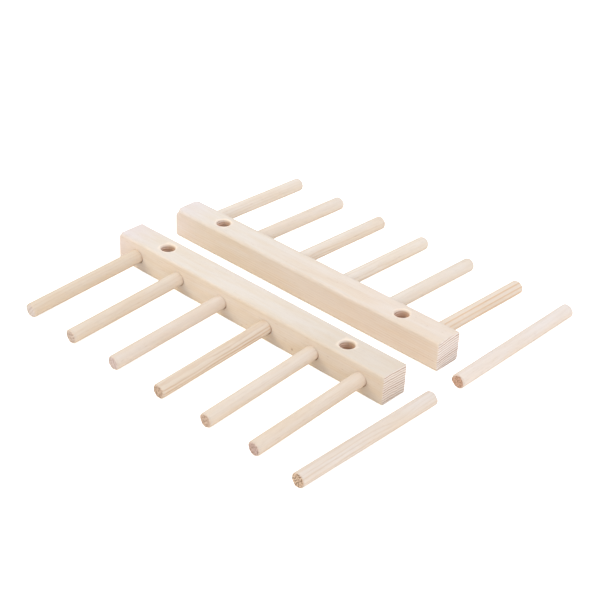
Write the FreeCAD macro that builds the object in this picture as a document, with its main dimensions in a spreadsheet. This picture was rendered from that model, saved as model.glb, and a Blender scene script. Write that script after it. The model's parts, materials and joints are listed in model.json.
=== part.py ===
import FreeCAD, Part

import math
import os

import Sketcher
from FreeCAD import Placement, Rotation, Vector

# A double rake loom for thick yarn, taken apart and laid out flat on a table.
#
# Two square wooden rails lie side by side along X. Each holds a row of round pegs that point away from
# the other rail, so each rail with its pegs is a comb. Two cross holes go through each rail at right
# angles to the pegs. Two loose rods lie past the rails' ends: in use they go through the cross holes
# of both rails and carry them side by side, with the pegs up, at whatever gap the yarn needs.
#
# Frame: +Z up, the table at Z 0, X along the rails, Y from the front comb to the rear comb. The origin
# is the middle of the whole layout on the table. Lengths are in millimetres, angles in degrees.

DRIVING_DIMENSIONS = [
    # rails
    ("rail_length", 295),
    ("rail_width", 26.5),
    ("rail_height", 26),
    ("rail_edge_radius", 2.3),
    ("rail_end_chamfer", 0.5),
    # cross holes, which take the rods
    ("cross_hole_spacing", 200),
    ("cross_hole_diameter", 12.2),
    ("cross_hole_chamfer", 0.8),
    # pegs, and the blind sockets that they sit in
    ("dowel_diameter", 12),
    ("peg_count", 6),
    ("peg_pitch", 50),
    ("peg_row_offset", 1.3),
    ("peg_reach", 112),
    ("peg_end_chamfer", 1.3),
    ("socket_depth", 15),
    ("socket_clearance", 0.05),
    ("socket_chamfer", 0.5),
    ("front_peg_droop", 3.5),
    ("rear_peg_droop", 1.8),
    # rods
    ("rod_end_chamfer", 0.8),
    ("front_rod_length", 142.5),
    ("rear_rod_length", 147.5),
    ("front_rod_turn", -1.0),
    ("rear_rod_turn", 0.25),
    # the layout on the table
    ("rail_centre_x", -15.1),
    ("front_face_y", -46.55),
    ("rail_gap", 37.8),
    ("front_rod_x", 155.0),
    ("front_rod_y", -88.75),
    ("rear_rod_x", 156.3),
    ("rear_rod_y", 86.25),
]

SHEET = "Dimensions"
OUT_FOLDER = "parts"
QUARTER_TURN = math.pi / 2

# a constraint's value until its formula is bound to it
STARTING_SIZE = 1.0
# how far a socket's cutter starts outside the rail
CUTTER_START = 3.0
# how near two lengths are to count as the same, and the least volume that counts as a cut
LENGTH_TOLERANCE = 0.01
LEAST_CUT = 1.0

document = FreeCAD.newDocument("KnittingLoom")


# ---- spreadsheet ----


def make_sheet():
    sheet = document.addObject("Spreadsheet::Sheet", SHEET)
    for row, (alias, value) in enumerate(DRIVING_DIMENSIONS, start=1):
        sheet.set(f"A{row}", alias)
        sheet.set(f"B{row}", str(value))
        sheet.setAlias(f"B{row}", alias)
    document.recompute()
    return sheet


def dimension(alias):
    return document.getObject(SHEET).get(alias)


def bind(thing, path, formula):
    """Binds a property or constraint to a formula in which each dimension stands as <name>."""
    thing.setExpression(path, formula.replace("<", f"{SHEET}.").replace(">", ""))


# ---- sketch helpers ----


def new_body(name):
    body = document.addObject("PartDesign::Body", name)
    body.Label = name
    return body


def origin_feature(body, role):
    return next(feature for feature in body.Origin.OriginFeatures if feature.Role == role)


def new_sketch(body, name, role):
    sketch = body.newObject("Sketcher::SketchObject", name)
    sketch.AttachmentSupport = [(origin_feature(body, role), "")]
    sketch.MapMode = "FlatFace"
    return sketch


def close_outline(sketch, points):
    """Draws a closed outline of straight lines and joins each line's end to the next one's start."""
    lines = []
    for start, end in zip(points, points[1:] + points[:1]):
        lines.append(sketch.addGeometry(Part.LineSegment(Vector(*start, 0), Vector(*end, 0))))
    for line, following in zip(lines, lines[1:] + lines[:1]):
        sketch.addConstraint(Sketcher.Constraint("Coincident", line, 2, following, 1))
    return lines


def size(sketch, kind, references, formula):
    """Adds a dimension constraint that follows a formula."""
    index = sketch.addConstraint(Sketcher.Constraint(kind, *references, STARTING_SIZE))
    bind(sketch, f"Constraints[{index}]", formula)


def revolve(body, sketch, kind, name):
    """Turns a half section about the sketch's own horizontal axis."""
    feature = body.newObject(f"PartDesign::{kind}", name)
    feature.Profile = sketch
    feature.ReferenceAxis = (sketch, ["H_Axis"])
    feature.Angle = 360
    return feature


def edges_where(feature, wanted):
    """Names the edges of a feature's shape that the test picks out."""
    return [f"Edge{i}" for i, edge in enumerate(feature.Shape.Edges, start=1) if wanted(edge)]


def chamfer(body, name, base, wanted, formula):
    document.recompute()
    edges = edges_where(base, wanted)
    assert edges, f"{name}: no edges found"
    feature = body.newObject("PartDesign::Chamfer", name)
    feature.Base = (base, edges)
    bind(feature, "Size", formula)
    document.recompute()
    return feature


def must_remove(body, volume_before, name):
    assert body.Shape.Volume < volume_before - LEAST_CUT, f"{name} removed nothing"


# ---- rails ----


def rail_bar(body):
    """The planed bar: a rounded square section along X, its outer face at Y 0 and its foot at Z 0."""
    section = new_sketch(body, f"{body.Name}_section", "YZ_Plane")
    left, right = 0, dimension("rail_width")
    foot, top = 0, dimension("rail_height")
    radius = dimension("rail_edge_radius")
    flats = [
        ((left + radius, foot), (right - radius, foot)),
        ((right, foot + radius), (right, top - radius)),
        ((right - radius, top), (left + radius, top)),
        ((left, top - radius), (left, foot + radius)),
    ]
    sides = [
        section.addGeometry(Part.LineSegment(Vector(*start, 0), Vector(*end, 0)))
        for start, end in flats
    ]
    corner_centres = [
        (right - radius, foot + radius),
        (right - radius, top - radius),
        (left + radius, top - radius),
        (left + radius, foot + radius),
    ]
    arcs = []
    for i, centre in enumerate(corner_centres):
        circle = Part.Circle(Vector(*centre, 0), Vector(0, 0, 1), radius)
        first = (i - 1) * QUARTER_TURN
        arcs.append(section.addGeometry(Part.ArcOfCircle(circle, first, first + QUARTER_TURN)))
    for arc, side, following in zip(arcs, sides, sides[1:] + sides[:1]):
        section.addConstraint(Sketcher.Constraint("Tangent", side, 2, arc, 1))
        section.addConstraint(Sketcher.Constraint("Tangent", arc, 2, following, 1))
    for flat, upright in (sides[:2], sides[2:]):
        section.addConstraint(Sketcher.Constraint("Horizontal", flat))
        section.addConstraint(Sketcher.Constraint("Vertical", upright))
    for arc in arcs[1:]:
        section.addConstraint(Sketcher.Constraint("Equal", arcs[0], arc))
    size(section, "Radius", (arcs[0],), "<rail_edge_radius>")
    size(section, "DistanceX", (-1, 1, sides[1], 1), "<rail_width>")
    size(section, "DistanceY", (-1, 1, sides[2], 1), "<rail_height>")
    section.addConstraint(Sketcher.Constraint("PointOnObject", sides[3], 1, -2))
    section.addConstraint(Sketcher.Constraint("PointOnObject", sides[0], 1, -1))

    bar = body.newObject("PartDesign::Pad", f"{body.Name}_bar")
    bar.Profile = section
    bar.Midplane = True
    bind(bar, "Length", "<rail_length>")
    document.recompute()
    return bar


def rail_sockets(body, droop):
    """One flat-floored blind socket, drilled along its peg's own axis, then repeated along the rail.

    The socket's half section is drawn in a sketch whose horizontal axis is the socket's axis. It
    starts outside the rail, opens out at the mouth and ends at the socket's floor."""
    section = new_sketch(body, f"{body.Name}_socket_section", "YZ_Plane")
    bind(section, "AttachmentOffset.Base.y", "<rail_height> / 2")
    bind(section, "AttachmentOffset.Base.z", "<peg_row_offset> - (<peg_count> - 1) / 2 * <peg_pitch>")
    bind(section, "AttachmentOffset.Rotation.Angle", droop)
    outside = -CUTTER_START
    slope_end = dimension("socket_chamfer")
    floor = dimension("socket_depth")
    wall = dimension("dowel_diameter") / 2 + dimension("socket_clearance")
    mouth = wall + slope_end
    lines = close_outline(
        section,
        [(outside, 0), (floor, 0), (floor, wall), (slope_end, wall), (0, mouth), (outside, mouth)],
    )
    axis_line, floor_line, wall_line, cone_line, mouth_line, outer_line = lines
    section.addConstraint(Sketcher.Constraint("PointOnObject", axis_line, 1, -1))
    for line in (axis_line, wall_line, mouth_line):
        section.addConstraint(Sketcher.Constraint("Horizontal", line))
    for line in (floor_line, outer_line):
        section.addConstraint(Sketcher.Constraint("Vertical", line))
    section.addConstraint(Sketcher.Constraint("DistanceX", axis_line, 1, -1, 1, CUTTER_START))
    size(section, "DistanceX", (-1, 1, axis_line, 2), "<socket_depth>")
    size(section, "DistanceY", (-1, 1, wall_line, 1), "<dowel_diameter> / 2 + <socket_clearance>")
    size(section, "DistanceX", (cone_line, 2, cone_line, 1), "<socket_chamfer>")
    size(section, "DistanceY", (cone_line, 1, cone_line, 2), "<socket_chamfer>")
    section.addConstraint(Sketcher.Constraint("PointOnObject", cone_line, 2, -2))

    volume = body.Shape.Volume
    socket = revolve(body, section, "Groove", f"{body.Name}_socket")
    document.recompute()
    must_remove(body, volume, socket.Name)

    row = body.newObject("PartDesign::LinearPattern", f"{body.Name}_socket_row")
    row.Originals = [socket]
    row.Direction = (origin_feature(body, "X_Axis"), [""])
    bind(row, "Occurrences", "<peg_count>")
    bind(row, "Length", "(<peg_count> - 1) * <peg_pitch>")
    volume = body.Shape.Volume
    body.Tip = row
    document.recompute()
    must_remove(body, volume, row.Name)
    return row


def rail_cross_holes(body):
    """Two holes straight through from top to foot, for the rods."""
    circles = new_sketch(body, f"{body.Name}_cross_hole_circles", "XY_Plane")
    radius = dimension("cross_hole_diameter") / 2
    middle_y = dimension("rail_width") / 2
    for side in (-1, 1):
        centre = Vector(side * dimension("cross_hole_spacing") / 2, middle_y, 0)
        circle = circles.addGeometry(Part.Circle(centre, Vector(0, 0, 1), radius))
        size(circles, "Diameter", (circle,), "<cross_hole_diameter>")
        size(circles, "DistanceY", (-1, 1, circle, 3), "<rail_width> / 2")
        across = (-1, 1, circle, 3) if side > 0 else (circle, 3, -1, 1)
        size(circles, "DistanceX", across, "<cross_hole_spacing> / 2")

    volume = body.Shape.Volume
    holes = body.newObject("PartDesign::Pocket", f"{body.Name}_cross_holes")
    holes.Profile = circles
    holes.Type = "ThroughAll"
    holes.Midplane = True
    document.recompute()
    must_remove(body, volume, holes.Name)
    return holes


def is_cross_hole_rim(edge):
    """True for a whole circle that lies level, as only the cross holes' rims do."""
    if not isinstance(edge.Curve, Part.Circle) or not edge.isClosed():
        return False
    return math.hypot(edge.Curve.Axis.x, edge.Curve.Axis.y) < LENGTH_TOLERANCE


def is_end_edge(edge):
    """True for the outline of a sawn end, whose points all lie at the bar's full half length."""
    half_length = dimension("rail_length") / 2
    return all(abs(abs(vertex.X) - half_length) < LENGTH_TOLERANCE for vertex in edge.Vertexes)


def make_rail(name, droop):
    """A whole rail in its own frame, with its pegs' side at Y 0."""
    body = new_body(name)
    rail_bar(body)
    rail_sockets(body, droop)
    holes = rail_cross_holes(body)
    eased_holes = chamfer(
        body, f"{name}_eased_holes", holes, is_cross_hole_rim, "<cross_hole_chamfer>"
    )
    chamfer(body, f"{name}_eased_ends", eased_holes, is_end_edge, "<rail_end_chamfer>")
    return body


# ---- dowels ----


def make_dowel(name, start, length, end_chamfer):
    """A round dowel along its own X, with both ends chamfered. Start is the near end's place on X.

    The half section is first drawn about as long as it is, and the formulas then size it."""
    body = new_body(name)
    section = new_sketch(body, f"{name}_section", "XY_Plane")
    near, far = -dimension("socket_depth"), dimension("peg_reach")
    radius = dimension("dowel_diameter") / 2
    slope = dimension(end_chamfer)
    lines = close_outline(
        section,
        [
            (near, 0),
            (far, 0),
            (far, radius - slope),
            (far - slope, radius),
            (near + slope, radius),
            (near, radius - slope),
        ],
    )
    axis_line, far_end, far_chamfer, wall, near_chamfer, near_end = lines
    section.addConstraint(Sketcher.Constraint("PointOnObject", axis_line, 1, -1))
    for line in (axis_line, wall):
        section.addConstraint(Sketcher.Constraint("Horizontal", line))
    for line in (far_end, near_end):
        section.addConstraint(Sketcher.Constraint("Vertical", line))
    size(section, "DistanceX", (axis_line, 1, -1, 1), f"-({start})")
    size(section, "DistanceX", (axis_line, 1, axis_line, 2), length)
    size(section, "DistanceY", (-1, 1, wall, 1), "<dowel_diameter> / 2")
    size(section, "DistanceX", (far_chamfer, 2, far_chamfer, 1), f"<{end_chamfer}>")
    size(section, "DistanceY", (far_chamfer, 1, far_chamfer, 2), f"<{end_chamfer}>")
    size(section, "DistanceX", (near_chamfer, 2, near_chamfer, 1), f"<{end_chamfer}>")
    size(section, "DistanceY", (near_chamfer, 2, near_chamfer, 1), f"<{end_chamfer}>")
    revolve(body, section, "Revolution", f"{name}_dowel")
    document.recompute()
    return body


def bind_place(body, x, y, z):
    for axis, formula in (("x", x), ("y", y), ("z", z)):
        bind(body, f"Placement.Base.{axis}", formula)


def make_pegs(comb, side, droop, face_y):
    """A comb's pegs. Side is -1 for pegs that point to -Y and 1 for pegs that point to +Y.

    A peg's own X runs from the socket's floor to its free end, and its own origin lies where its axis
    meets the rail's outer face. The row's offset is the same in both rails' own frames, so it turns
    round with the rear rail."""
    pegs = []
    for number in range(1, int(dimension("peg_count")) + 1):
        name = f"{comb}_peg_{number}"
        length = "<socket_depth> + <peg_reach>"
        peg = make_dowel(name, "-<socket_depth>", length, "peg_end_chamfer")
        place_in_row = f"({number} - (<peg_count> + 1) / 2) * <peg_pitch>"
        bind_place(
            peg,
            f"<rail_centre_x> + {place_in_row} - {side} * <peg_row_offset>",
            face_y,
            "<rail_height> / 2",
        )
        outward = Rotation(Vector(0, 0, 1), side * 90)
        turn = outward * Rotation(Vector(0, 1, 0), dimension(droop))
        peg.Placement = Placement(peg.Placement.Base, turn)
        pegs.append(peg)
    return pegs


def make_rod(name, length, x, y, turn):
    """A loose rod on the table, its own X turned to lie along +Y."""
    rod = make_dowel(name, f"-{length} / 2", length, "rod_end_chamfer")
    bind_place(rod, x, y, "<dowel_diameter> / 2")
    rod.Placement = Placement(rod.Placement.Base, Rotation(Vector(0, 0, 1), 90))
    bind(rod, "Placement.Rotation.Angle", f"90 + {turn}")
    return rod


# ---- the whole loom ----


def make_loom():
    front_rail = make_rail("front_rail", "<front_peg_droop>")
    bind_place(front_rail, "<rail_centre_x>", "<front_face_y>", "0")

    rear_face_y = "<front_face_y> + 2 * <rail_width> + <rail_gap>"
    rear_rail = make_rail("rear_rail", "<rear_peg_droop>")
    bind_place(rear_rail, "<rail_centre_x>", rear_face_y, "0")
    rear_rail.Placement = Placement(rear_rail.Placement.Base, Rotation(Vector(0, 0, 1), 180))

    front_pegs = make_pegs("front", -1, "front_peg_droop", "<front_face_y>")
    rear_pegs = make_pegs("rear", 1, "rear_peg_droop", rear_face_y)
    rods = [
        make_rod(
            f"{comb}_spacer_rod",
            f"<{comb}_rod_length>",
            f"<{comb}_rod_x>",
            f"<{comb}_rod_y>",
            f"<{comb}_rod_turn>",
        )
        for comb in ("front", "rear")
    ]
    document.recompute()
    return [front_rail, rear_rail, *front_pegs, *rear_pegs, *rods]


def check_document(pieces):
    for thing in document.Objects:
        faults = [word for word in thing.State if word in ("Invalid", "Error")]
        assert not faults, f"{thing.Name}: {faults}"
    for piece in pieces:
        assert not piece.Shape.isNull(), f"{piece.Label} is empty"
        assert piece.Shape.isValid(), f"{piece.Label} is not valid"
        assert len(piece.Shape.Solids) == 1, f"{piece.Label} is not one solid"


def write_parts(pieces):
    os.makedirs(OUT_FOLDER, exist_ok=True)
    for piece in pieces:
        piece.Shape.exportStep(f"{OUT_FOLDER}/{piece.Label}.step")


make_sheet()
loom = make_loom()
check_document(loom)
write_parts(loom)

whole = Part.makeCompound([piece.Shape for piece in loom]).BoundBox
print(f"pieces {len(loom)}")
print(f"X {whole.XMin:.2f} to {whole.XMax:.2f}")
print(f"Y {whole.YMin:.2f} to {whole.YMax:.2f}")
print(f"Z {whole.ZMin:.2f} to {whole.ZMax:.2f}")
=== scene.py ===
import json
import math

import bmesh
import bpy
import numpy as np
from mathutils import Matrix, Vector, noise


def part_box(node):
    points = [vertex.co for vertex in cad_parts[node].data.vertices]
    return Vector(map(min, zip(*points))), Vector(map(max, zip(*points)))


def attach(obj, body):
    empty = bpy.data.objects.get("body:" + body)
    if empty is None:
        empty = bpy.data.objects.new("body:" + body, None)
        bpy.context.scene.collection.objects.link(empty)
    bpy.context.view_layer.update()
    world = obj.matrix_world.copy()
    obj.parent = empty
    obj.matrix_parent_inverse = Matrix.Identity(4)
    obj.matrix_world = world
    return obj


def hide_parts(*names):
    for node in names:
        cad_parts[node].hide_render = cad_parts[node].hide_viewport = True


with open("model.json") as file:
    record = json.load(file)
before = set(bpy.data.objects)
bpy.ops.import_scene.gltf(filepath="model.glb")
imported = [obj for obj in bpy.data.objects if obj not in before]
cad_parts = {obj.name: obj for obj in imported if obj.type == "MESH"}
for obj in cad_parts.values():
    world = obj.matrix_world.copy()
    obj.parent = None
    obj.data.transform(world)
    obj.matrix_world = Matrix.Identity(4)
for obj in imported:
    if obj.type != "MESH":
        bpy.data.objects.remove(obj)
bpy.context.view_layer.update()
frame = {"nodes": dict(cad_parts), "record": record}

# The looks of a wooden double rake loom: two rails and fourteen dowels of bare pine. Every piece is
# rebuilt as its own mesh in its own frame, with its grain along its own X, at the place and size that
# the frame gives, and gets a pine material cut from its own part of a tree.

MM = 0.001
RECORD = frame["record"]


# ---- small helpers ----


def drift(seed, *place):
    """A smooth repeatable number from about -1 to 1 at a place, its own for each seed."""
    spot = list(place) + [0.0] * (3 - len(place))
    return noise.noise(Vector(spot) + Vector((17.3, 5.1, 9.7)) * seed)


def node_points(name):
    """A CAD node's vertices, one to a row."""
    points = np.empty(len(frame["nodes"][name].data.vertices) * 3)
    frame["nodes"][name].data.vertices.foreach_get("co", points)
    return points.reshape(-1, 3)


def dowel_axis(name):
    """A CAD dowel's two end centres and its radius, from its own vertices."""
    points = node_points(name)
    centre = points.mean(0)
    direction = np.linalg.svd(points - centre, full_matrices=False)[2][0]
    along = (points - centre) @ direction
    ends = []
    for side in (-1, 1):
        last = points[side * along > side * (along.max() if side > 0 else along.min()) - 0.5 * MM]
        ends.append(last.mean(0))
    start, end = (Vector(p) for p in ends)
    axis = np.array((end - start).normalized())
    off_axis = points - np.array(start)
    off_axis -= np.outer(off_axis @ axis, axis)
    return start, end, float(np.linalg.norm(off_axis, axis=1).max())


def frame_along(origin, direction):
    """A frame whose X runs along the direction and whose Z stays as near to up as it can."""
    x_axis = direction.normalized()
    y_axis = Vector((0, 0, 1)).cross(x_axis).normalized()
    z_axis = x_axis.cross(y_axis)
    turn = Matrix((x_axis, y_axis, z_axis)).transposed()
    return Matrix.Translation(origin) @ turn.to_4x4()


def make_object(name, points, faces, matrix):
    mesh = bpy.data.meshes.new(name)
    mesh.from_pydata([tuple(p) for p in points], [], faces)
    mesh.update()
    made = bpy.data.objects.new(name, mesh)
    made.matrix_world = matrix
    bpy.context.scene.collection.objects.link(made)
    return made


def bridge(faces, first, second, count):
    """Joins two rings of points, each given by its first point's number, with quads."""
    for k in range(count):
        after = (k + 1) % count
        faces.append((first + k, first + after, second + after, second + k))


def smooth_with_creases(made, degrees):
    """Shades the mesh smooth, but for edges that bend more than this."""
    mesh = made.data
    mesh.shade_smooth()
    work = bmesh.new()
    work.from_mesh(mesh)
    for edge in work.edges:
        edge.smooth = len(edge.link_faces) == 2 and edge.calc_face_angle(0) < math.radians(degrees)
    work.to_mesh(mesh)
    work.free()


def store(made, attribute, values):
    layer = made.data.attributes.new(attribute, "FLOAT", "POINT")
    layer.data.foreach_set("value", values)


# ---- lathed shapes ----


def lathe(profile, sides, seed, unevenness):
    """Turns (x, radius, bulge) points about X. Unevenness makes the round a little out of true, and a
    bulge opens it on its +Y side, or on its -Y side where it is negative."""
    points, faces = [], []
    for x, radius, bulge in profile:
        for k in range(sides):
            angle = 2 * math.pi * k / sides
            y, z = math.cos(angle), math.sin(angle)
            r = radius + unevenness * drift(seed, 1.3 * y, 1.3 * z, x * 45)
            r += abs(bulge) * max(0.0, math.copysign(y, y * bulge)) ** 1.5
            points.append((x, r * y, r * z))
    for ring in range(len(profile) - 1):
        bridge(faces, (ring + 1) * sides, ring * sides, sides)
    faces.append(tuple(range(sides)))
    last = (len(profile) - 1) * sides
    faces.append(tuple(reversed(range(last, last + sides))))
    return points, faces


# ---- dowels ----

DOWEL_SIDES = 56
RING_STEP = 2.2 * MM
EASING_STEPS = (0.0, 0.03, 0.12, 0.3, 0.55, 0.8, 1.0, 1.25, 1.7)
DOWEL_END_LOOPS = (0.9, 0.72, 0.54, 0.36, 0.18)
SLOW_WAVE = 0.05 * MM
FINE_WAVE = 0.03 * MM
SLANT_REACH = 4 * MM
DOWEL_CREASE = 40


def easing(cut, seed, angle):
    """How far from a sawn end its edge is broken, at an angle round the dowel."""
    y, z = math.cos(angle), math.sin(angle)
    uneven = 1 + cut["ragged"] * drift(seed, 1.7 * y, 1.7 * z)
    heavy = max(0.0, math.cos(angle - math.radians(cut["heavy_side"])))
    return cut["break"] * MM * (uneven + cut["heavy"] * heavy**2)


def broken_edge(from_end, reach, roundness):
    """How much less the radius is at a distance from the end: between a flat and a round chamfer."""
    t = min(1.0, max(0.0, from_end / reach))
    flat = 1 - t
    round_off = 1 - math.sqrt(1 - flat * flat)
    return reach * (flat + (round_off - flat) * roundness)


def dowel_mesh(name, length, radius, look, matrix):
    """A sanded dowel from X 0 to its length. Its ends are sawn a little out of square, and their
    edges are broken by hand, so the width of the broken edge wanders round the end."""
    seed = look["seed"]
    cuts = [{**SANDED_END, **look.get(which, {})} for which in ("near_end", "far_end")]
    margins = [cut["break"] * MM * (1 + 0.5 * cut["ragged"]) for cut in cuts]
    near = [margins[0] * s for s in EASING_STEPS]
    far = [length - margins[1] * s for s in reversed(EASING_STEPS)]
    steps = max(2, round((far[0] - near[-1]) / RING_STEP))
    middle = [near[-1] + (far[0] - near[-1]) * i / steps for i in range(1, steps)]

    points, faces, wear_and_shade = [], [], []

    def ring(x, scale=1.0):
        which = 0 if x < length / 2 else 1
        cut = cuts[which]
        inward = 1 if which == 0 else -1
        from_end = min(x, length - x)
        for k in range(DOWEL_SIDES):
            angle = 2 * math.pi * k / DOWEL_SIDES
            y, z = math.cos(angle), math.sin(angle)
            reach = easing(cut, seed + 5 * which, angle)
            r = radius - broken_edge(from_end, reach, cut["roundness"])
            r += SLOW_WAVE * drift(seed, 1.1 * y, 1.1 * z, x * 40)
            r = (r + FINE_WAVE * drift(seed + 7, 4 * y, 4 * z, x * 160)) * scale
            tilt = math.cos(angle - math.radians(cut["slant_side"]))
            cut_back = cut["slant"] * (radius + r * tilt) * math.exp(-from_end / SLANT_REACH)
            torn = 0.0
            if scale < 1:
                torn = cut["torn"] * MM * (1 + drift(seed + 3, 620 * r * y, 620 * r * z, which)) / 2
            points.append((x + inward * (cut_back + torn), r * y, r * z))
            # near each end the broken edge is worn, and the same mask paints it darker there as painted
            # shade
            edge = math.exp(-((2 * (from_end / reach - 0.6)) ** 2))
            wear_and_shade.append(edge if scale == 1 else 0.0)

    for x in [*near, *middle, *far]:
        ring(x)
    rows = len(near) + len(middle) + len(far)
    for row in range(rows - 1):
        bridge(faces, (row + 1) * DOWEL_SIDES, row * DOWEL_SIDES, DOWEL_SIDES)
    for end_x, outer in ((0.0, 0), (length, (rows - 1) * DOWEL_SIDES)):
        previous = outer
        for scale in DOWEL_END_LOOPS:
            first = len(points)
            ring(end_x, scale)
            pair = (previous, first) if end_x == 0 else (first, previous)
            bridge(faces, *reversed(pair), DOWEL_SIDES)
            previous = first
        cap = range(previous, previous + DOWEL_SIDES)
        faces.append(tuple(reversed(cap)) if end_x == 0 else tuple(cap))
    made = make_object(name, points, faces, matrix)
    store(made, "wear_and_shade", wear_and_shade)
    fix_normals(made)
    smooth_with_creases(made, DOWEL_CREASE)
    return made


def fix_normals(made):
    work = bmesh.new()
    work.from_mesh(made.data)
    bmesh.ops.recalc_face_normals(work, faces=work.faces)
    work.to_mesh(made.data)
    work.free()


# ---- rails ----

CORNER_STEPS = 7
END_STEPS = 6
RAIL_STEP = 2.5 * MM
FACE_STEPS = (0.03, 0.12, 0.3, 0.5, 0.7, 0.88, 0.97)
RAIL_END_LOOPS = (0.93, 0.75, 0.45, 0.15)
END_SUPPORT = 0.6 * MM
EDGE_WANDER = 0.35
RAIL_SWELL = 0.05 * MM
# how much the rail's edges and sawn ends are worn; the same mask paints them darker, as painted shade on
# the rounded edges
EDGE_WEAR_AND_SHADE = 0.3
SAWN_WEAR_AND_SHADE = 0.2

HOLE_SIDES = 56
HOLE_WAVE = 0.09 * MM
HOLE_RIM = 0.85 * MM
RIM_BEND = math.radians(62)
RIM_STEPS = 5
WALL_DEPTHS = (2.2, 3.2, 4.5, 6.5)
# painted shade in the holes starts below the rim and grows over the next depth
SHADE_START_DEPTH = 0.9 * HOLE_RIM
HOLE_SHADE_DEPTH = 2.8 * MM
HOLE_SHADE = 0.6

SOCKET_SIDES = 48
SOCKET_WAVE = 0.05 * MM
SOCKET_GAP = 0.06 * MM
SOCKET_BULGE = 0.9 * MM
SOCKET_MOUTH = 0.9 * MM
CUT_BEYOND = 1.0 * MM
RAIL_CREASE = 32


def rail_section(width, height, radii):
    """A rounded square outline about its own middle, as (y, z, wear and painted edge shade) points.
    Radii start at the foot edge on the peg side and go round by the other foot edge, the far top edge
    and the near one."""
    corners = [(-1, -1, math.pi), (1, -1, 1.5 * math.pi), (1, 1, 0.0), (-1, 1, 0.5 * math.pi)]
    outline = []
    for (side_y, side_z, start), radius in zip(corners, radii):
        centre_y = side_y * (width / 2 - radius)
        centre_z = side_z * (height / 2 - radius)
        for step in range(CORNER_STEPS + 1):
            angle = start + step / CORNER_STEPS * math.pi / 2
            bend = math.sin(step / CORNER_STEPS * math.pi)
            y = centre_y + radius * math.cos(angle)
            z = centre_z + radius * math.sin(angle)
            outline.append((y, z, EDGE_WEAR_AND_SHADE + (1 - EDGE_WEAR_AND_SHADE) * bend))
    filled = []
    for i, point in enumerate(outline):
        filled.append(point)
        if i % (CORNER_STEPS + 1) == CORNER_STEPS:
            following = outline[(i + 1) % len(outline)]
            for t in FACE_STEPS:
                y = point[0] + (following[0] - point[0]) * t
                z = point[1] + (following[1] - point[1]) * t
                filled.append((y, z, max(0.0, EDGE_WEAR_AND_SHADE - 3 * min(t, 1 - t))))
    return filled


def knock(point, corner, reach):
    """Rounds one corner of a bar that stands about the origin, where it has been knocked."""
    signs = [1 if c > 0 else -1 for c in corner]
    beyond = Vector([s * (p - c) + reach for s, p, c in zip(signs, point, corner)])
    if min(beyond) <= 0:
        return point
    share = min(1.0, min(beyond) / (0.5 * reach))
    share = share * share * (3 - 2 * share)
    pulled = beyond * min(1.0, reach / beyond.length)
    moved = beyond.lerp(pulled, share)
    return tuple(c + s * (m - reach) for s, m, c in zip(signs, moved, corner))


def rail_bar(name, length, width, height, look, matrix):
    """The planed bar about its own middle, before it is drilled. Its long edges are sanded round by
    hand, so their radius wanders, and its sawn ends are eased by a radius of their own."""
    seed = look["seed"]
    half = length / 2
    points, faces, wear_and_shade = [], [], []

    def section(x, inset=0.0, scale=1.0):
        radii = [
            (r + EDGE_WANDER * drift(seed + i, x * 18)) * MM for i, r in enumerate(look["edge_radii"])
        ]
        swell = RAIL_SWELL * drift(seed + 9, x * 12)
        outline = rail_section(width + swell, height, radii)
        for y, z, worn_and_shaded in outline:
            squeeze_y = (width / 2 - inset) / (width / 2) * scale
            squeeze_z = (height / 2 - inset) / (height / 2) * scale
            points.append((x, y * squeeze_y, z * squeeze_z))
            wear_and_shade.append(worn_and_shaded if scale == 1 else SAWN_WEAR_AND_SHADE)
        return len(outline)

    left, right = (r * MM for r in look["end_radii"])
    turns = [math.pi / 2 * k / END_STEPS for k in range(END_STEPS + 1)]
    left_part = [(-half + left * (1 - math.cos(a)), left * (1 - math.sin(a))) for a in turns]
    right_part = [(half - right * (1 - math.cos(a)), right * (1 - math.sin(a))) for a in reversed(turns)]
    start, end = left_part[-1][0], right_part[0][0]
    steps = round((end - start) / RAIL_STEP)
    middle = [start + (end - start) * i / steps for i in range(1, steps)]
    straight = [start + END_SUPPORT, *middle, end - END_SUPPORT]
    rows = left_part + [(x, 0.0) for x in straight] + right_part

    counts = [section(x, inset) for x, inset in rows]
    count = counts[0]
    for row in range(len(rows) - 1):
        bridge(faces, row * count, (row + 1) * count, count)
    for end_x, inset, outer in (
        (-half, rows[0][1], 0),
        (half, rows[-1][1], (len(rows) - 1) * count),
    ):
        previous = outer
        for scale in RAIL_END_LOOPS:
            first = len(points)
            section(end_x, inset, scale)
            bridge(faces, previous, first, count)
            previous = first
        faces.append(tuple(range(previous, previous + count)))
    for signs, reach in look["knocks"]:
        corner = [s * size / 2 for s, size in zip(signs, (length, width, height))]
        points = [knock(p, corner, reach * MM) for p in points]
    made = make_object(name, points, faces, matrix)
    store(made, "wear_and_shade", wear_and_shade)
    fix_normals(made)
    return made


def drill(made, cutters):
    """Cuts the drilled holes out of a bar, all at once."""
    work = bmesh.new()
    for points, faces, placed in cutters:
        start = [work.verts.new(placed @ Vector(p)) for p in points]
        for face in faces:
            work.faces.new([start[i] for i in face])
    bmesh.ops.recalc_face_normals(work, faces=work.faces)
    mesh = bpy.data.meshes.new("cutters")
    work.to_mesh(mesh)
    work.free()
    tool = bpy.data.objects.new("cutters", mesh)
    bpy.context.scene.collection.objects.link(tool)
    tool.matrix_world = made.matrix_world
    cut = made.modifiers.new("drill", "BOOLEAN")
    cut.operation = "DIFFERENCE"
    cut.solver = "EXACT"
    cut.object = tool
    bpy.context.view_layer.update()
    result = bpy.data.meshes.new_from_object(
        made.evaluated_get(bpy.context.evaluated_depsgraph_get())
    )
    made.modifiers.clear()
    made.data = result
    bpy.data.objects.remove(tool)


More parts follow.
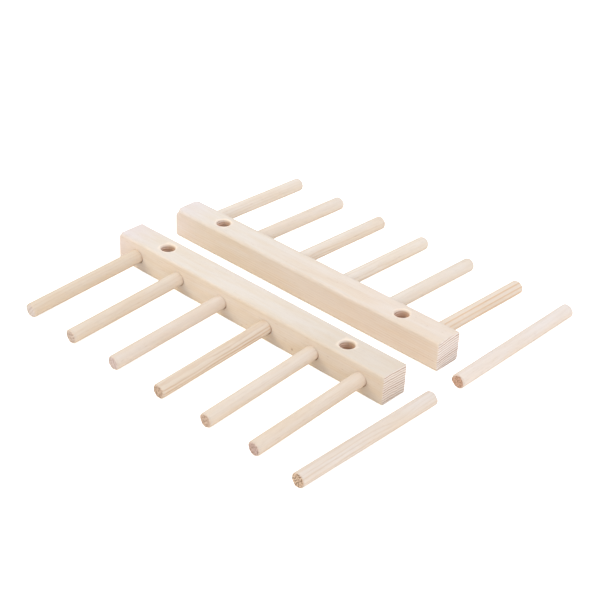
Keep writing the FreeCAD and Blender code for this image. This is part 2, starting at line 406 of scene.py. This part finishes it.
def hole_profile(radius, half_height):
    """The outline of a through hole from one end to the other, with rims that are sanded round."""
    bend = HOLE_RIM / (1 - math.cos(RIM_BEND))
    rim = [(half_height - depth * MM, radius, 0.0) for depth in reversed(WALL_DEPTHS)]
    for step in range(RIM_STEPS + 1):
        turn = RIM_BEND * step / RIM_STEPS
        depth = bend * (math.sin(RIM_BEND) - math.sin(turn))
        rim.append((half_height - depth, radius + bend * (1 - math.cos(turn)), 0.0))
    last_x, last_r, flush = rim[-1]
    rim.append((last_x + HOLE_RIM, last_r + HOLE_RIM * math.tan(RIM_BEND), flush))
    return [(-x, r, flush) for x, r, flush in reversed(rim)] + rim


def mark_drilled(made, holes, sockets, half_size):
    """Marks the walls of everything that is drilled for painted shade, which grows the deeper a hole
    goes, and the holes' sanded rims for a painted highlight, which fades into the shade. Holes and
    sockets are given by their middles and by a radius that takes their opened mouths in."""
    vertices = made.data.vertices
    drilled, rim = np.zeros(len(vertices)), np.zeros(len(vertices))
    for i, vertex in enumerate(vertices):
        below_face, below_top = (half_size[k] - abs(vertex.co[k]) for k in (1, 2))
        for x, z, radius in sockets:
            inside = math.hypot(vertex.co.x - x, vertex.co.z - z) < radius
            if inside and below_face > 0.4 * SOCKET_MOUTH:
                drilled[i] = 1.0
        for x, y, radius in holes:
            if math.hypot(vertex.co.x - x, vertex.co.y - y) < radius:
                deep = min(1.0, max(0.0, (below_top - SHADE_START_DEPTH) / HOLE_SHADE_DEPTH))
                drilled[i] = HOLE_SHADE * deep
                rim[i] = (1.0 - deep) ** 3
    store(made, "drilled", drilled)
    store(made, "rim", rim)


def make_rail(comb, look):
    node = f"{comb}_rail"
    low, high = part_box(node)
    middle = (low + high) / 2
    length, width, height = high - low
    matrix = Matrix.Translation(middle)
    made = rail_bar(f"{node}_wood", length, width, height, look, matrix)

    cutters, holes, sockets = [], [], []
    for i, mount in enumerate(m for m in RECORD["mounts"] if m["kind"] == "bore"):
        if not mount["name"].startswith(comb):
            continue
        r = mount["dims"]["r_mm"] * MM
        centre = Vector(mount["pos_m"]) - middle
        holes.append((centre.x, centre.y, r + 1.5 * HOLE_RIM))
        profile = hole_profile(r, height / 2)
        points, faces = lathe(profile, HOLE_SIDES, i + 3, HOLE_WAVE)
        upright = Matrix.Translation((centre.x, centre.y, 0)) @ Matrix.Rotation(-math.pi / 2, 4, "Y")
        cutters.append((points, faces, upright))
    for number in range(1, 7):
        seat, tip, r = peg_ends(comb, number)
        outward = (tip - seat).normalized()
        face_y = low.y if comb == "front" else high.y
        to_face = abs((face_y - seat.y) / outward.y)
        bore = r + SOCKET_GAP
        bulge = math.copysign(SOCKET_BULGE, -outward.y)
        profile = [
            (0.0, bore, 0.0),
            (to_face - SOCKET_MOUTH, bore, 0.0),
            (to_face - 0.5 * SOCKET_MOUTH, bore, 0.6 * bulge),
            (to_face, bore, bulge),
            (to_face + CUT_BEYOND, bore, bulge),
        ]
        points, faces = lathe(profile, SOCKET_SIDES, number, SOCKET_WAVE)
        cutters.append((points, faces, frame_along(seat - middle, outward)))
        mouth = seat + outward * to_face - middle
        sockets.append((mouth.x, mouth.z, bore + 1.3 * SOCKET_BULGE))
    drill(made, cutters)
    mark_drilled(made, holes, sockets, (high - low) / 2)
    fix_normals(made)
    smooth_with_creases(made, RAIL_CREASE)
    made.data.materials.append(pine(f"{node}_pine", look))
    settle(made, node, f"{comb}_comb")


def settle(made, node, body):
    """Hides the CAD node that a piece stands for, and attaches the piece to its body."""
    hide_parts(node)
    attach(made, body)


def peg_ends(comb, number):
    """A peg's seat in its socket and its free end, in that order, and its radius. The sockets are
    drilled by hand, so a peg strays a little sideways, at its seat and at its tip."""
    start, end, radius = dowel_axis(f"{comb}_peg_{number}")
    rail_low, rail_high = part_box(f"{comb}_rail")
    middle_y = (rail_low.y + rail_high.y) / 2
    if abs(start.y - middle_y) > abs(end.y - middle_y):
        start, end = end, start
    seat_stray, tip_stray = PEGS[comb, number].get("strays", (0.0, 0.0))
    start.x += seat_stray * MM
    end.x += tip_stray * MM
    return start, end, radius


def make_peg(comb, number, look):
    node = f"{comb}_peg_{number}"
    seat, tip, radius = peg_ends(comb, number)
    matrix = frame_along(seat, tip - seat)
    length = (tip - seat).length + look.get("stands_out", 0.0) * MM
    made = dowel_mesh(f"{node}_wood", length, radius, look, matrix)
    made.data.materials.append(pine(f"{node}_pine", look))
    settle(made, node, f"{comb}_comb")


def make_rod(comb, look):
    node = f"{comb}_spacer_rod"
    start, end, radius = dowel_axis(node)
    if start.y > end.y:
        start, end = end, start
    matrix = frame_along(start, end - start)
    made = dowel_mesh(f"{node}_wood", (end - start).length, radius, look, matrix)
    made.data.materials.append(pine(f"{node}_pine", look))
    settle(made, node, f"{comb}_rod")


# ---- pine ----

# tones that are mixed into the wood
KNOT_HALO = (0.72, 0.56, 0.41)
KNOT_HEART = (0.30, 0.16, 0.08)
RESIN = (0.42, 0.24, 0.13)
TORN_SPECK = (0.21, 0.125, 0.08)
# a painted highlight round the rims of the holes
RIM_HIGHLIGHT = (0.93, 0.79, 0.66)

# tones that the wood is multiplied by
WHITE = (1.0, 1.0, 1.0)
DARK_FIBRE = (0.86, 0.82, 0.79)
PALE_FIBRE = (1.05, 1.05, 1.06)
DARK_PORE = (0.74, 0.66, 0.60)
# painted shade on drilled walls
DRILLED_SHADE = (1.03, 0.71, 0.51)

# how dark the wood is from spring to winter, as (share of the year, darkness): pale spring wood
# darkens slowly into thin summer wood, which ends at a sharp line
SANDED_YEAR = [(0.0, 0.45), (0.09, 0.03), (0.50, 0.05), (0.74, 0.30), (0.90, 1.0), (0.985, 0.9)]
SAWN_YEAR = [(0.0, 0.6), (0.07, 0.0), (0.56, 0.0), (0.74, 0.7), (0.86, 1.0), (0.99, 1.0)]

# how strongly each mark shows, from 0 to 1
FLAT_SOFTNESS = 0.6
FIBRE_STRENGTH = 0.6
RESIN_STRENGTH = 0.5
KNOT_WARMTH = 0.3
KNOT_STRENGTH = 0.85
RIM_HIGHLIGHT_STRENGTH = 0.7

BARE_ROUGHNESS = 0.62
RELIEF_STRENGTH = 0.55
RELIEF_HEIGHT = 0.09 * MM


class Tree:
    """Short calls for adding nodes. A value may be a number, a tuple or another node's output."""

    def __init__(self, tree):
        self.tree = tree

    def add(self, kind, values=(), output=0, **settings):
        node = self.tree.nodes.new(kind)
        for key, value in settings.items():
            setattr(node, key, value)
        pairs = values.items() if isinstance(values, dict) else enumerate(values)
        for key, value in pairs:
            self.put(node.inputs[key], value)
        return node.outputs[output]

    def put(self, socket, value):
        if isinstance(value, bpy.types.NodeSocket):
            self.tree.links.new(value, socket)
        elif value is not None:
            socket.default_value = value

    def math(self, operation, *values, clamp=False):
        return self.add("ShaderNodeMath", values, operation=operation, use_clamp=clamp)

    def vector(self, operation, *values, output=0):
        return self.add("ShaderNodeVectorMath", values, operation=operation, output=output)

    def scaled(self, vector, scale):
        return self.vector("SCALE", vector, None, None, scale)

    def split(self, vector):
        node = self.tree.nodes.new("ShaderNodeSeparateXYZ")
        self.put(node.inputs[0], vector)
        return node.outputs

    def attribute(self, name):
        return self.add("ShaderNodeAttribute", output=2, attribute_name=name)

    def noise(self, place, stretch, detail, roughness, color=False):
        """Noise that is drawn out most along the axis whose stretch is the smallest number."""
        place = self.vector("MULTIPLY", place, stretch)
        values = {"Vector": place, "Scale": 1.0, "Detail": detail, "Roughness": roughness}
        return self.add("ShaderNodeTexNoise", values, output=1 if color else 0)

    def ramp(self, factor, stops):
        node = self.tree.nodes.new("ShaderNodeValToRGB")
        node.color_ramp.interpolation = "EASE"
        elements = node.color_ramp.elements
        while len(elements) < len(stops):
            elements.new(0.5)
        for element, (position, value) in zip(elements, stops):
            element.position = position
            element.color = tint((value,) * 3 if isinstance(value, float) else value)
        self.put(node.inputs[0], factor)
        return node.outputs[0]

    def blend(self, factor, first, second, mode="MIX"):
        node = self.tree.nodes.new("ShaderNodeMix")
        node.data_type = "RGBA"
        node.blend_type = mode
        node.clamp_factor = True
        for key, value in ((0, factor), (6, first), (7, second)):
            self.put(node.inputs[key], value)
        return node.outputs[2]


def tint(color):
    return (*color, 1.0)


def in_the_tree(t, place, moved, look):
    """Bends the piece's places: a slow wander of the whole trunk, and a finer one that makes the
    ring lines uneven."""
    slow = t.noise(moved, (0.011, 0.03, 0.03), 2.0, 0.5, color=True)
    fine = t.noise(moved, (0.03, 0.16, 0.16), 2.0, 0.55, color=True)
    wobble = look.get("wobble", 0.6) * look["ring_width"]
    for bend, size in ((slow, look["wander"]), (fine, wobble)):
        place = t.vector("ADD", place, t.scaled(t.vector("SUBTRACT", bend, (0.5, 0.5, 0.5)), size))
    return place


def knots(t, place, trunk, look):
    """Pushes the rings aside round each knot, and finds how warm and how dark the knots are."""
    warmth, shade = 0.0, 0.0
    for centre, size, bulge in look.get("knots", []):
        away = t.vector("SUBTRACT", place, centre)
        squeezed = t.vector("MULTIPLY", away, (0.3 / size, 0.7 / size, 0.7 / size))
        distance = t.vector("LENGTH", squeezed, output=1)
        swell = t.math("EXPONENT", t.math("MULTIPLY", t.math("MULTIPLY", distance, distance), -0.35))
        push = t.math("MULTIPLY", swell, bulge * look["ring_width"])
        trunk = t.vector("ADD", trunk, t.add("ShaderNodeCombineXYZ", (0.0, 0.0, push)))
        halo = t.math("MULTIPLY", swell, KNOT_WARMTH * bulge, clamp=True)
        warmth = t.math("MAXIMUM", warmth, halo)
        core = t.vector("LENGTH", t.vector("MULTIPLY", away, (0.8 / size,) * 3), output=1)
        heart = t.math("EXPONENT", t.math("MULTIPLY", t.math("MULTIPLY", core, core), -1.6))
        shade = t.math("MAXIMUM", shade, heart)
    return trunk, warmth, shade


def growth_rings(t, trunk, look):
    """Gives the way out from the pith line, and how dark the rings are where they are sanded and
    where they are sawn."""
    seed = look["seed"]
    pith_y, pith_z = look["pith"]
    lean_y, lean_z = look.get("lean", (0.0, 0.0))
    x, y, z = t.split(trunk)
    off_y = t.math("SUBTRACT", t.math("SUBTRACT", y, pith_y), t.math("MULTIPLY", x, lean_y))
    off_z = t.math("SUBTRACT", t.math("SUBTRACT", z, pith_z), t.math("MULTIPLY", x, lean_z))
    outward = t.add("ShaderNodeCombineXYZ", (0.0, off_y, off_z))
    years = t.math("DIVIDE", t.vector("LENGTH", outward, output=1), look["ring_width"])
    pace = t.add(
        "ShaderNodeTexNoise",
        {"W": t.math("ADD", t.math("MULTIPLY", years, 0.45), 3.7 * seed), "Scale": 1.0, "Detail": 1.0},
        noise_dimensions="1D",
    )
    years = t.math("ADD", years, t.math("MULTIPLY", pace, look.get("uneven_years", 0.9)))
    season = t.math("FRACT", years)
    own_year = t.math("ADD", t.math("FLOOR", years), 11.0 * seed)
    vigour = t.add("ShaderNodeTexWhiteNoise", {"W": own_year}, noise_dimensions="1D")
    strength = t.math("ADD", 0.55, t.math("MULTIPLY", vigour, 0.6))
    sanded = t.math("MULTIPLY", t.ramp(season, SANDED_YEAR), strength)
    sawn = t.math("MULTIPLY", t.ramp(season, SAWN_YEAR), strength)
    return outward, sanded, sawn


def lines_on_faces(t, normal, outward, moved, sanded, look):
    """How strongly the rings show. A face that lies along them shows them softer than one that cuts
    straight across, and the lines come and go along a face."""
    facing = t.vector("DOT_PRODUCT", normal, t.vector("NORMALIZE", outward), output=1)
    flat_cut = t.math("MULTIPLY", t.math("MULTIPLY", facing, facing), FLAT_SOFTNESS)
    presence = t.ramp(t.noise(moved, (0.012, 0.05, 0.05), 1.0, 0.5), [(0.34, 0.45), (0.62, 1.0)])
    contrast = t.math("MULTIPLY", t.math("SUBTRACT", 1.0, flat_cut), look["contrast"])
    return t.math("MULTIPLY", sanded, t.math("MULTIPLY", contrast, presence))


def face_color(t, moved, grain, warmth, look):
    """Spring wood in patches of slightly pinker and yellower tone, drawn out along the grain, with
    summer wood over it."""
    patches = t.ramp(t.noise(moved, (0.018, 0.12, 0.12), 3.0, 0.55), [(0.34, 0.0), (0.66, 1.0)])
    color = t.blend(patches, tint(look["spring"]), tint(look["spring_warm"]))
    color = t.blend(warmth, color, tint(KNOT_HALO))
    return t.blend(grain, color, tint(look["summer"]))


def change_along(t, place, color, look):
    """A rail's tone changes slowly along it: each change starts at one X and is full at another."""
    for start_x, full_x, tone in look.get("tones", []):
        share = t.math("SUBTRACT", t.split(place)[0], start_x)
        share = t.math("DIVIDE", share, float(full_x - start_x), clamp=True)
        color = t.blend(share, color, tint(tone), "MULTIPLY")
    return color


def sawn_end(t, moved, sawn, look):
    """The color and relief of end grain: a tone of its own, fine open pores, and torn specks where
    the saw caught the fibres."""
    pores = t.noise(moved, (0.0, 4.0, 4.0), 2.0, 0.7)
    specks = t.ramp(t.noise(moved, (0.0, 0.85, 0.85), 1.0, 0.6), [(0.48, 0.0), (0.56, 1.0)])
    torn = t.math("MULTIPLY", specks, look["end_specks"])
    rings = t.math("MULTIPLY", sawn, look["end_contrast"])
    color = t.blend(rings, tint(look["sawn"]), tint(look["sawn_late"]))
    color = t.blend(1.0, color, tint(look["end_tint"]), "MULTIPLY")
    pore_shade = t.ramp(pores, [(0.34, DARK_PORE), (0.55, WHITE)])
    color = t.blend(look["end_pores"], color, pore_shade, "MULTIPLY")
    color = t.blend(torn, color, tint(TORN_SPECK))
    return color, t.math("SUBTRACT", t.math("MULTIPLY", pores, 1.3), torn)


def pine(name, look):
    """Bare pine, as a solid texture in the piece's own frame, in millimetres.

    Growth rings are tubes about a pith line that lies outside the piece, so each face shows the
    figure that its own cut through them gives: lines on the sides, arches on top, arcs on the ends."""
    material = bpy.data.materials.new(name)
    material.use_nodes = True
    nodes = material.node_tree.nodes
    nodes.clear()
    t = Tree(material.node_tree)

    seed = look["seed"]
    coordinates = nodes.new("ShaderNodeTexCoord")
    place = t.scaled(coordinates.outputs["Object"], 1 / MM)
    normal = coordinates.outputs["Normal"]
    moved = t.vector("ADD", place, (31.7 * seed, 13.1 * seed, 7.9 * seed))
    end_grain = t.math("POWER", t.math("ABSOLUTE", t.split(normal)[0]), 4.0, clamp=True)
    drilled = t.attribute("drilled")

    trunk = in_the_tree(t, place, moved, look)
    trunk, knot_warmth, knot_shade = knots(t, place, trunk, look)
    outward, sanded, sawn = growth_rings(t, trunk, look)
    grain = lines_on_faces(t, normal, outward, moved, sanded, look)
    grain = t.add("ShaderNodeMix", {0: drilled, 2: grain, 3: sawn})
    color = face_color(t, moved, grain, knot_warmth, look)

    # fibres: long fine streaks, and short dark resin canals
    streaks = t.noise(moved, (0.04, 2.2, 2.2), 3.0, 0.65)
    hairs = t.noise(moved, (0.16, 8.0, 8.0), 1.0, 0.5)
    fibre = t.math("ADD", t.math("MULTIPLY", streaks, 0.65), t.math("MULTIPLY", hairs, 0.35))
    fibre_shade = t.ramp(fibre, [(0.3, DARK_FIBRE), (0.5, WHITE), (0.72, PALE_FIBRE)])
    color = t.blend(FIBRE_STRENGTH, color, fibre_shade, "MULTIPLY")
    canals = t.ramp(t.noise(moved, (0.22, 2.4, 2.4), 0.0, 0.5), [(0.75, 0.0), (0.82, 1.0)])
    canals = t.math("MULTIPLY", canals, t.math("ADD", 0.25, t.math("MULTIPLY", sanded, 0.75)))
    color = t.blend(t.math("MULTIPLY", canals, RESIN_STRENGTH), color, tint(RESIN))

    color = change_along(t, place, color, look)
    end_color, end_relief = sawn_end(t, moved, sawn, look)
    color = t.blend(end_grain, color, end_color)

    # drilled walls of holes and sockets are painted darker and warmer, more so deeper in a hole: painted
    # shade
    color = t.blend(drilled, color, tint(DRILLED_SHADE), "MULTIPLY")
    color = t.blend(t.math("MULTIPLY", knot_shade, KNOT_STRENGTH), color, tint(KNOT_HEART))

    # the worn edges are painted a little darker, unevenly: painted shade that tones down the light the
    # rounded edges catch; rubbing by hands also leaves them a little smoother
    rub_and_shade = t.ramp(t.noise(moved, (0.12, 0.5, 0.5), 3.0, 0.6), [(0.38, 0.25), (0.66, 1.0)])
    worn_and_shaded = t.math("MULTIPLY", t.attribute("wear_and_shade"), rub_and_shade, clamp=True)
    color = t.blend(t.math("MULTIPLY", worn_and_shaded, look["worn_and_shaded_depth"]), color, tint(look["worn_and_shaded"]))
    # the rims of the holes are painted lighter: a painted highlight
    color = t.blend(t.math("MULTIPLY", t.attribute("rim"), RIM_HIGHLIGHT_STRENGTH), color, tint(RIM_HIGHLIGHT))

    roughness = t.math("SUBTRACT", BARE_ROUGHNESS, t.math("MULTIPLY", grain, 0.10))
    roughness = t.math("ADD", roughness, t.math("MULTIPLY", t.math("SUBTRACT", fibre, 0.5), 0.25))
    roughness = t.math("ADD", roughness, t.math("MULTIPLY", end_grain, 0.18))
    roughness = t.math("SUBTRACT", roughness, t.math("MULTIPLY", worn_and_shaded, 0.10), clamp=True)

    relief = t.math("ADD", t.math("MULTIPLY", fibre, 0.9), t.math("MULTIPLY", sanded, 0.35))
    relief = t.math("SUBTRACT", relief, t.math("MULTIPLY", canals, 0.6))
    relief = t.add("ShaderNodeMix", {0: end_grain, 2: relief, 3: end_relief})
    bump_values = {"Strength": RELIEF_STRENGTH, "Distance": RELIEF_HEIGHT, "Height": relief}
    bumped = t.add("ShaderNodeBump", bump_values)

    shader = nodes.new("ShaderNodeBsdfPrincipled")
    shader.inputs["IOR"].default_value = 1.45
    shader.inputs["Specular IOR Level"].default_value = 0.35
    t.put(shader.inputs["Base Color"], color)
    t.put(shader.inputs["Roughness"], roughness)
    t.put(shader.inputs["Normal"], bumped)
    output = nodes.new("ShaderNodeOutputMaterial")
    t.put(output.inputs[0], shader.outputs[0])
    return material


# ---- what each piece of wood is like ----

PALE = (0.765, 0.685, 0.612)
CREAM = (0.748, 0.645, 0.540)
SUMMER = (0.600, 0.415, 0.270)
STRONG_SUMMER = (0.520, 0.285, 0.130)

SAWN = {
    "sawn": (0.84, 0.76, 0.71), "sawn_late": (0.40, 0.23, 0.14), "end_tint": WHITE,
    "end_contrast": 1.0, "end_pores": 0.3, "end_specks": 0.0,
}

# Sizes and places are in millimetres: a rail's places are from its middle, and a dowel's from the
# near end of its axis. The pith line runs along X, at this Y and Z.
RAIL_WOOD = {
    **SAWN, "spring": PALE, "spring_warm": CREAM, "summer": SUMMER, "uneven_years": 0.3,
    # the tone given for worn edges is painted shade: it darkens the rounded edges against the light they
    # catch
    "ring_width": 2.2, "worn_and_shaded": (0.63, 0.555, 0.475), "worn_and_shaded_depth": 0.5,
}
RAILS = {
    "front": {
        **RAIL_WOOD, "seed": 1, "pith": (-14, -260), "lean": (0.0, 0.012), "wander": 2.4,
        "contrast": 0.20, "tones": [(-112, -147, (1.0, 1.005, 1.13)), (0, 100, (0.935, 0.92, 0.90))],
        "edge_radii": (1.6, 1.6, 2.1, 2.1), "end_radii": (2.0, 0.7),
        "knots": [((56, -13.2, -7.0), 0.8, 0.4)],
        "knocks": [((-1, -1, 1), 3.5), ((1, -1, 1), 2.0)],
    },
    "rear": {
        **RAIL_WOOD, "seed": 2, "pith": (22, -300), "lean": (0.0, -0.006), "wander": 2.2,
        "contrast": 0.34, "tones": [(-112, -147, (1.0, 1.005, 1.10)), (-60, 60, (1.02, 0.985, 0.97))],
        "edge_radii": (2.3, 2.3, 2.6, 2.6), "end_radii": (3.0, 0.9),
        "knocks": [((-1, -1, 1), 6.0), ((-1, 1, 1), 4.0), ((1, -1, 1), 2.5)],
        "end_tint": (1.07, 1.09, 1.13),
    },
}

# what an end of a dowel is like where nothing else is said: break and torn are in millimetres,
# sides are in degrees round the axis, and the rest are shares
SANDED_END = {
    "break": 1.5, "ragged": 0.5, "roundness": 0.8, "heavy_side": 0, "heavy": 0.0,
    "slant": 0.02, "slant_side": 90, "torn": 0.12,
}
ROD_END = {"break": 0.7, "ragged": 0.9, "roundness": 0.3, "torn": 0.3}

PLAIN = {
    **SAWN, "ring_width": 3.0, "wander": 2.0, "contrast": 0.26, "end_contrast": 0.3,
    "summer": SUMMER, "end_tint": (0.80, 0.78, 0.78), "end_pores": 0.5, "end_specks": 0.4,
    # the tone given for worn dowel ends is painted shade on their broken edges
    "wobble": 0.8, "worn_and_shaded": (0.57, 0.50, 0.455), "worn_and_shaded_depth": 0.5,
}


def wood(red, green, blue):
    """The two tones that one dowel's wood drifts between."""
    return {"spring": (red, green, blue), "spring_warm": (0.985 * red, 0.95 * green, 0.90 * blue)}


# A peg strays along X at its seat and at its tip, and stands out more or less than in the CAD.
PEGS = {
    ("front", 1): {
        "strays": (-0.3, -1.0), "stands_out": 0.1,
        **wood(0.707, 0.590, 0.475), "pith": (40, -30), "contrast": 0.30,
        "end_tint": (0.82, 0.83, 0.88), "end_specks": 0.1,
    },
    ("front", 2): {
        "stands_out": 0.8, **wood(0.722, 0.610, 0.505), "pith": (-20, 48),
        "end_tint": (0.84, 0.79, 0.78), "end_specks": 0.6,
    },
    ("front", 3): {
        "stands_out": 0.8, **wood(0.735, 0.632, 0.550), "pith": (50, 22),
        "end_tint": (0.84, 0.80, 0.86), "end_specks": 0.4,
    },
    ("front", 4): {
        "strays": (0.4, 0.9), "stands_out": 0.9,
        **wood(0.735, 0.625, 0.520), "pith": (8, 36), "contrast": 0.95, "ring_width": 2.3,
        "summer": STRONG_SUMMER, "end_tint": (0.82, 0.71, 0.62), "end_specks": 0.9,
    },
    ("front", 5): {
        "strays": (0.0, 0.5), "stands_out": 0.5,
        **wood(0.743, 0.640, 0.548), "pith": (-38, 40), "contrast": 0.25,
        "end_tint": (0.80, 0.69, 0.62), "end_specks": 0.6,
    },
    ("front", 6): {
        "strays": (-1.4, -2.5), "stands_out": -1.1,
        **wood(0.743, 0.635, 0.540), "pith": (12, 60), "contrast": 0.35,
        "end_tint": (0.76, 0.65, 0.67), "end_specks": 0.7,
    },
    ("rear", 1): {
        "strays": (-1.0, -1.7), "stands_out": 0.6, **wood(0.79, 0.69, 0.60), "pith": (30, 50),
    },
    ("rear", 2): {
        "strays": (-0.8, -0.9), "stands_out": 0.8, **wood(0.78, 0.68, 0.595), "pith": (-44, 20),
    },
    ("rear", 3): {
        "strays": (-0.7, -0.9), "stands_out": 0.3,
        **wood(0.79, 0.69, 0.60), "pith": (10, -34), "contrast": 0.7, "ring_width": 2.4, "wander": 3.5,
    },
    ("rear", 4): {
        "strays": (-0.8, -0.9), "stands_out": -0.3,
        **wood(0.805, 0.715, 0.63), "pith": (-30, 34), "contrast": 0.55, "ring_width": 2.6,
    },
    ("rear", 5): {
        "strays": (-0.5, -0.7), "stands_out": -0.9, **wood(0.78, 0.685, 0.60), "pith": (36, -40),
    },
    ("rear", 6): {
        "stands_out": -1.0, **wood(0.79, 0.68, 0.585), "summer": (0.68, 0.40, 0.19),
        "pith": (-36.8, -39.8), "contrast": 0.9, "ring_width": 3.6, "wander": 0.6, "wobble": 0.15,
        "uneven_years": 0.2,
    },
}

RODS = {
    "front": {
        **wood(0.740, 0.652, 0.590), "pith": (28, 40), "contrast": 0.6, "wander": 3.0,
        "knots": [((99, -9.5, 8.8), 3.0, 3.0)],
        "end_tint": (0.92, 0.79, 0.66), "end_specks": 1.0,
        "near_end": ROD_END,
        "far_end": {
            **ROD_END, "break": 0.6, "ragged": 0.4, "roundness": 0.2, "slant": 0.06, "slant_side": 60,
        },
    },
    "rear": {
        **wood(0.785, 0.695, 0.64), "pith": (-50, 35), "contrast": 0.15,
        "end_tint": (0.80, 0.57, 0.46), "end_specks": 0.6,
        "near_end": {**ROD_END, "break": 1.0, "heavy_side": -80, "heavy": 0.6},
        "far_end": {**ROD_END, "break": 0.9, "ragged": 0.4, "slant": 0.05, "slant_side": 120},
    },
}


# ---- build ----

for comb, look in RAILS.items():
    make_rail(comb, look)
for order, ((comb, number), look) in enumerate(PEGS.items()):
    make_peg(comb, number, {**PLAIN, "seed": 10 + order, **look})
for order, (comb, look) in enumerate(RODS.items()):
    make_rod(comb, {**PLAIN, "seed": 40 + order, **look})


# ---- floor, light and camera ----

FLOOR_SIDE = 16.0
FLOOR_DEPTH = 0.08 * MM


def make_floor(name, depth, color, glow):
    """A plain floor that casts a glow of its own on top of the light that it takes."""
    half = FLOOR_SIDE / 2
    corners = [(-half, -half), (half, -half), (half, half), (-half, half)]
    points = [(x, y, -depth) for x, y in corners]
    made = make_object(name, points, [(0, 1, 2, 3)], Matrix.Identity(4))
    material = bpy.data.materials.new(name)
    material.use_nodes = True
    shader = material.node_tree.nodes["Principled BSDF"]
    shader.inputs["Base Color"].default_value = tint(color)
    shader.inputs["Roughness"].default_value = 0.9
    shader.inputs["Specular IOR Level"].default_value = 0.0
    shader.inputs["Emission Color"].default_value = (1, 1, 1, 1)
    shader.inputs["Emission Strength"].default_value = glow
    made.data.materials.append(material)
    return made


def make_floors():
    """The table is bleached white where it is seen, as on an overexposed sweep of paper, but it
    throws only plain bounced light back on the wood: one floor is seen, another lights."""
    seen = make_floor("floor_seen", FLOOR_DEPTH, (0.92, 0.92, 0.92), 0.72)
    for kind in ("visible_diffuse", "visible_glossy", "visible_transmission", "visible_shadow"):
        setattr(seen, kind, False)
    lighting = make_floor("floor_bounce", 3 * FLOOR_DEPTH, (0.95, 0.88, 0.77), 0.0)
    lighting.visible_camera = False


HORIZON = (1.0, 0.93, 0.86)
ZENITH = (0.93, 0.98, 1.05)
SKY_STRENGTH = 0.80


def make_world():
    world = bpy.data.worlds.new("studio")
    world.use_nodes = True
    bpy.context.scene.world = world
    t = Tree(world.node_tree)
    background = world.node_tree.nodes["Background"]
    direction = world.node_tree.nodes.new("ShaderNodeTexCoord").outputs["Generated"]
    sky = t.ramp(t.split(direction)[2], [(0.0, HORIZON), (0.6, ZENITH)])
    t.put(background.inputs[0], sky)
    t.put(background.inputs[1], SKY_STRENGTH)


def make_softbox(name, place, aim, size, power, color):
    data = bpy.data.lights.new(name, "AREA")
    data.shape = "SQUARE"
    data.size = size
    data.energy = power
    data.color = color
    made = bpy.data.objects.new(name, data)
    made.location = place
    made.rotation_mode = "QUATERNION"
    made.rotation_quaternion = (Vector(aim) - Vector(place)).to_track_quat("-Z", "Y")
    bpy.context.scene.collection.objects.link(made)


CAMERA_AZIMUTH = 41.8
CAMERA_ELEVATION = 31.6
CAMERA_ROLL = 2.73
CAMERA_DISTANCE = 1.1729
CAMERA_AIM = Vector((-0.0113, 0.0184, 0.0))
CAMERA_LENS = 85.4


def make_camera():
    azimuth, elevation = math.radians(CAMERA_AZIMUTH), math.radians(CAMERA_ELEVATION)
    back = Vector(
        (
            math.sin(azimuth) * math.cos(elevation),
            -math.cos(azimuth) * math.cos(elevation),
            math.sin(elevation),
        )
    )
    data = bpy.data.cameras.new("camera")
    data.lens = CAMERA_LENS
    data.sensor_width = 36
    data.clip_start = 0.05
    data.clip_end = 20
    made = bpy.data.objects.new("camera", data)
    level = (-back).to_track_quat("-Z", "Y").to_matrix().to_4x4()
    roll = Matrix.Rotation(math.radians(CAMERA_ROLL), 4, "Z")
    made.matrix_world = Matrix.Translation(CAMERA_AIM + back * CAMERA_DISTANCE) @ level @ roll
    bpy.context.scene.collection.objects.link(made)
    bpy.context.scene.camera = made


make_floors()
make_world()
make_softbox("overhead", (-0.25, 0.3, 1.3), (0, 0, 0), 1.4, 4.0, (0.85, 0.97, 1.08))
make_softbox("warm_key", (-1.3, -1.5, 1.4), (0, 0, 0), 1.2, 20.0, (1.0, 0.84, 0.58))
make_softbox("cool_side", (2.0, -0.5, 0.8), (0, 0, 0), 1.0, 13.8, (0.93, 0.97, 1.0))
make_camera()
bpy.context.scene.view_settings.view_transform = "Standard"

bpy.context.view_layer.update()
